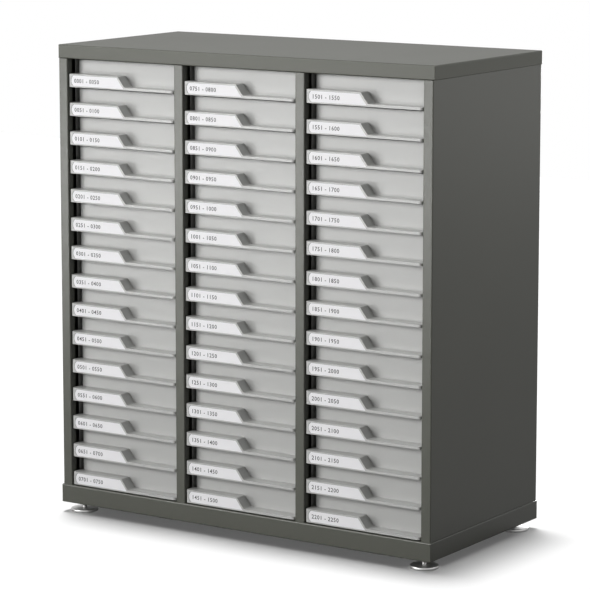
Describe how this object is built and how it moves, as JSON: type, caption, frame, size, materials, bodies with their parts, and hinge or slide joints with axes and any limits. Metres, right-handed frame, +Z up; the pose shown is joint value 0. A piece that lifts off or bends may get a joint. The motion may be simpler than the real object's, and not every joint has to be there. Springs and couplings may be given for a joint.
{
  "type": "multi-drawer cabinet",
  "caption": "Free-standing steel filing cabinet with columns of shallow slide-out drawers, each with a moulded label handle, on round levelling feet.",
  "frame": {"origin": "on the floor under the middle of the outer box", "axes": "+X to the right seen from the front, +Y to the back, +Z up; the drawers open towards -Y"},
  "size_m": [0.864, 0.407, 0.9425],
  "materials": {
    "cabinet_paint": "fine textured powder coat, satin, dark warm grey",
    "rack_plastic": "moulded, matte, charcoal",
    "drawer_plastic": "moulded, fine matte grain, light grey",
    "foot_chrome": "bright zinc plated, polished"
  },
  "bodies": {
    "cabinet": {"back_panel": "cabinet_paint", "base_pan": "cabinet_paint", "left_side": "cabinet_paint", "partition_1": "cabinet_paint", "partition_2": "cabinet_paint", "right_side": "cabinet_paint", "runner_racks_1": "rack_plastic", "runner_racks_2": "rack_plastic", "runner_racks_3": "rack_plastic", "top_panel": "cabinet_paint"},
    "foot_back_left": {"foot_back_left": "foot_chrome"},
    "foot_back_right": {"foot_back_right": "foot_chrome"},
    "foot_front_left": {"foot_front_left": "foot_chrome"},
    "foot_front_right": {"foot_front_right": "foot_chrome"},
    "drawer_1_01": {"drawer_1_01": "drawer_plastic"},
    "drawer_1_02": {"drawer_1_02": "drawer_plastic"},
    "drawer_1_03": {"drawer_1_03": "drawer_plastic"},
    "drawer_1_04": {"drawer_1_04": "drawer_plastic"},
    "drawer_1_05": {"drawer_1_05": "drawer_plastic"},
    "drawer_1_06": {"drawer_1_06": "drawer_plastic"},
    "drawer_1_07": {"drawer_1_07": "drawer_plastic"},
    "drawer_1_08": {"drawer_1_08": "drawer_plastic"},
    "drawer_1_09": {"drawer_1_09": "drawer_plastic"},
    "drawer_1_10": {"drawer_1_10": "drawer_plastic"},
    "drawer_1_11": {"drawer_1_11": "drawer_plastic"},
    "drawer_1_12": {"drawer_1_12": "drawer_plastic"},
    "drawer_1_13": {"drawer_1_13": "drawer_plastic"},
    "drawer_1_14": {"drawer_1_14": "drawer_plastic"},
    "drawer_1_15": {"drawer_1_15": "drawer_plastic"},
    "drawer_2_01": {"drawer_2_01": "drawer_plastic"},
    "drawer_2_02": {"drawer_2_02": "drawer_plastic"},
    "drawer_2_03": {"drawer_2_03": "drawer_plastic"},
    "drawer_2_04": {"drawer_2_04": "drawer_plastic"},
    "drawer_2_05": {"drawer_2_05": "drawer_plastic"},
    "drawer_2_06": {"drawer_2_06": "drawer_plastic"},
    "drawer_2_07": {"drawer_2_07": "drawer_plastic"},
    "drawer_2_08": {"drawer_2_08": "drawer_plastic"},
    "drawer_2_09": {"drawer_2_09": "drawer_plastic"},
    "drawer_2_10": {"drawer_2_10": "drawer_plastic"},
    "drawer_2_11": {"drawer_2_11": "drawer_plastic"},
    "drawer_2_12": {"drawer_2_12": "drawer_plastic"},
    "drawer_2_13": {"drawer_2_13": "drawer_plastic"},
    "drawer_2_14": {"drawer_2_14": "drawer_plastic"},
    "drawer_2_15": {"drawer_2_15": "drawer_plastic"},
    "drawer_3_01": {"drawer_3_01": "drawer_plastic"},
    "drawer_3_02": {"drawer_3_02": "drawer_plastic"},
    "drawer_3_03": {"drawer_3_03": "drawer_plastic"},
    "drawer_3_04": {"drawer_3_04": "drawer_plastic"},
    "drawer_3_05": {"drawer_3_05": "drawer_plastic"},
    "drawer_3_06": {"drawer_3_06": "drawer_plastic"},
    "drawer_3_07": {"drawer_3_07": "drawer_plastic"},
    "drawer_3_08": {"drawer_3_08": "drawer_plastic"},
    "drawer_3_09": {"drawer_3_09": "drawer_plastic"},
    "drawer_3_10": {"drawer_3_10": "drawer_plastic"},
    "drawer_3_11": {"drawer_3_11": "drawer_plastic"},
    "drawer_3_12": {"drawer_3_12": "drawer_plastic"},
    "drawer_3_13": {"drawer_3_13": "drawer_plastic"},
    "drawer_3_14": {"drawer_3_14": "drawer_plastic"},
    "drawer_3_15": {"drawer_3_15": "drawer_plastic"}
  },
  "joints": [
    {"name": "level_back_left", "type": "slide", "parent": "cabinet", "child": "foot_back_left", "axis": [0, 0, -1], "range_m": [0, 0.012]},
    {"name": "level_back_right", "type": "slide", "parent": "cabinet", "child": "foot_back_right", "axis": [0, 0, -1], "range_m": [0, 0.012]},
    {"name": "level_front_left", "type": "slide", "parent": "cabinet", "child": "foot_front_left", "axis": [0, 0, -1], "range_m": [0, 0.012]},
    {"name": "level_front_right", "type": "slide", "parent": "cabinet", "child": "foot_front_right", "axis": [0, 0, -1], "range_m": [0, 0.012]},
    {"name": "slide_1_01", "type": "slide", "parent": "cabinet", "child": "drawer_1_01", "axis": [0, -1, 0], "range_m": [0, 0.25]},
    {"name": "slide_1_02", "type": "slide", "parent": "cabinet", "child": "drawer_1_02", "axis": [0, -1, 0], "range_m": [0, 0.25]},
    {"name": "slide_1_03", "type": "slide", "parent": "cabinet", "child": "drawer_1_03", "axis": [0, -1, 0], "range_m": [0, 0.25]},
    {"name": "slide_1_04", "type": "slide", "parent": "cabinet", "child": "drawer_1_04", "axis": [0, -1, 0], "range_m": [0, 0.25]},
    {"name": "slide_1_05", "type": "slide", "parent": "cabinet", "child": "drawer_1_05", "axis": [0, -1, 0], "range_m": [0, 0.25]},
    {"name": "slide_1_06", "type": "slide", "parent": "cabinet", "child": "drawer_1_06", "axis": [0, -1, 0], "range_m": [0, 0.25]},
    {"name": "slide_1_07", "type": "slide", "parent": "cabinet", "child": "drawer_1_07", "axis": [0, -1, 0], "range_m": [0, 0.25]},
    {"name": "slide_1_08", "type": "slide", "parent": "cabinet", "child": "drawer_1_08", "axis": [0, -1, 0], "range_m": [0, 0.25]},
    {"name": "slide_1_09", "type": "slide", "parent": "cabinet", "child": "drawer_1_09", "axis": [0, -1, 0], "range_m": [0, 0.25]},
    {"name": "slide_1_10", "type": "slide", "parent": "cabinet", "child": "drawer_1_10", "axis": [0, -1, 0], "range_m": [0, 0.25]},
    {"name": "slide_1_11", "type": "slide", "parent": "cabinet", "child": "drawer_1_11", "axis": [0, -1, 0], "range_m": [0, 0.25]},
    {"name": "slide_1_12", "type": "slide", "parent": "cabinet", "child": "drawer_1_12", "axis": [0, -1, 0], "range_m": [0, 0.25]},
    {"name": "slide_1_13", "type": "slide", "parent": "cabinet", "child": "drawer_1_13", "axis": [0, -1, 0], "range_m": [0, 0.25]},
    {"name": "slide_1_14", "type": "slide", "parent": "cabinet", "child": "drawer_1_14", "axis": [0, -1, 0], "range_m": [0, 0.25]},
    {"name": "slide_1_15", "type": "slide", "parent": "cabinet", "child": "drawer_1_15", "axis": [0, -1, 0], "range_m": [0, 0.25]},
    {"name": "slide_2_01", "type": "slide", "parent": "cabinet", "child": "drawer_2_01", "axis": [0, -1, 0], "range_m": [0, 0.25]},
    {"name": "slide_2_02", "type": "slide", "parent": "cabinet", "child": "drawer_2_02", "axis": [0, -1, 0], "range_m": [0, 0.25]},
    {"name": "slide_2_03", "type": "slide", "parent": "cabinet", "child": "drawer_2_03", "axis": [0, -1, 0], "range_m": [0, 0.25]},
    {"name": "slide_2_04", "type": "slide", "parent": "cabinet", "child": "drawer_2_04", "axis": [0, -1, 0], "range_m": [0, 0.25]},
    {"name": "slide_2_05", "type": "slide", "parent": "cabinet", "child": "drawer_2_05", "axis": [0, -1, 0], "range_m": [0, 0.25]},
    {"name": "slide_2_06", "type": "slide", "parent": "cabinet", "child": "drawer_2_06", "axis": [0, -1, 0], "range_m": [0, 0.25]},
    {"name": "slide_2_07", "type": "slide", "parent": "cabinet", "child": "drawer_2_07", "axis": [0, -1, 0], "range_m": [0, 0.25]},
    {"name": "slide_2_08", "type": "slide", "parent": "cabinet", "child": "drawer_2_08", "axis": [0, -1, 0], "range_m": [0, 0.25]},
    {"name": "slide_2_09", "type": "slide", "parent": "cabinet", "child": "drawer_2_09", "axis": [0, -1, 0], "range_m": [0, 0.25]},
    {"name": "slide_2_10", "type": "slide", "parent": "cabinet", "child": "drawer_2_10", "axis": [0, -1, 0], "range_m": [0, 0.25]},
    {"name": "slide_2_11", "type": "slide", "parent": "cabinet", "child": "drawer_2_11", "axis": [0, -1, 0], "range_m": [0, 0.25]},
    {"name": "slide_2_12", "type": "slide", "parent": "cabinet", "child": "drawer_2_12", "axis": [0, -1, 0], "range_m": [0, 0.25]},
    {"name": "slide_2_13", "type": "slide", "parent": "cabinet", "child": "drawer_2_13", "axis": [0, -1, 0], "range_m": [0, 0.25]},
    {"name": "slide_2_14", "type": "slide", "parent": "cabinet", "child": "drawer_2_14", "axis": [0, -1, 0], "range_m": [0, 0.25]},
    {"name": "slide_2_15", "type": "slide", "parent": "cabinet", "child": "drawer_2_15", "axis": [0, -1, 0], "range_m": [0, 0.25]},
    {"name": "slide_3_01", "type": "slide", "parent": "cabinet", "child": "drawer_3_01", "axis": [0, -1, 0], "range_m": [0, 0.25]},
    {"name": "slide_3_02", "type": "slide", "parent": "cabinet", "child": "drawer_3_02", "axis": [0, -1, 0], "range_m": [0, 0.25]},
    {"name": "slide_3_03", "type": "slide", "parent": "cabinet", "child": "drawer_3_03", "axis": [0, -1, 0], "range_m": [0, 0.25]},
    {"name": "slide_3_04", "type": "slide", "parent": "cabinet", "child": "drawer_3_04", "axis": [0, -1, 0], "range_m": [0, 0.25]},
    {"name": "slide_3_05", "type": "slide", "parent": "cabinet", "child": "drawer_3_05", "axis": [0, -1, 0], "range_m": [0, 0.25]},
    {"name": "slide_3_06", "type": "slide", "parent": "cabinet", "child": "drawer_3_06", "axis": [0, -1, 0], "range_m": [0, 0.25]},
    {"name": "slide_3_07", "type": "slide", "parent": "cabinet", "child": "drawer_3_07", "axis": [0, -1, 0], "range_m": [0, 0.25]},
    {"name": "slide_3_08", "type": "slide", "parent": "cabinet", "child": "drawer_3_08", "axis": [0, -1, 0], "range_m": [0, 0.25]},
    {"name": "slide_3_09", "type": "slide", "parent": "cabinet", "child": "drawer_3_09", "axis": [0, -1, 0], "range_m": [0, 0.25]},
    {"name": "slide_3_10", "type": "slide", "parent": "cabinet", "child": "drawer_3_10", "axis": [0, -1, 0], "range_m": [0, 0.25]},
    {"name": "slide_3_11", "type": "slide", "parent": "cabinet", "child": "drawer_3_11", "axis": [0, -1, 0], "range_m": [0, 0.25]},
    {"name": "slide_3_12", "type": "slide", "parent": "cabinet", "child": "drawer_3_12", "axis": [0, -1, 0], "range_m": [0, 0.25]},
    {"name": "slide_3_13", "type": "slide", "parent": "cabinet", "child": "drawer_3_13", "axis": [0, -1, 0], "range_m": [0, 0.25]},
    {"name": "slide_3_14", "type": "slide", "parent": "cabinet", "child": "drawer_3_14", "axis": [0, -1, 0], "range_m": [0, 0.25]},
    {"name": "slide_3_15", "type": "slide", "parent": "cabinet", "child": "drawer_3_15", "axis": [0, -1, 0], "range_m": [0, 0.25]}
  ]
}
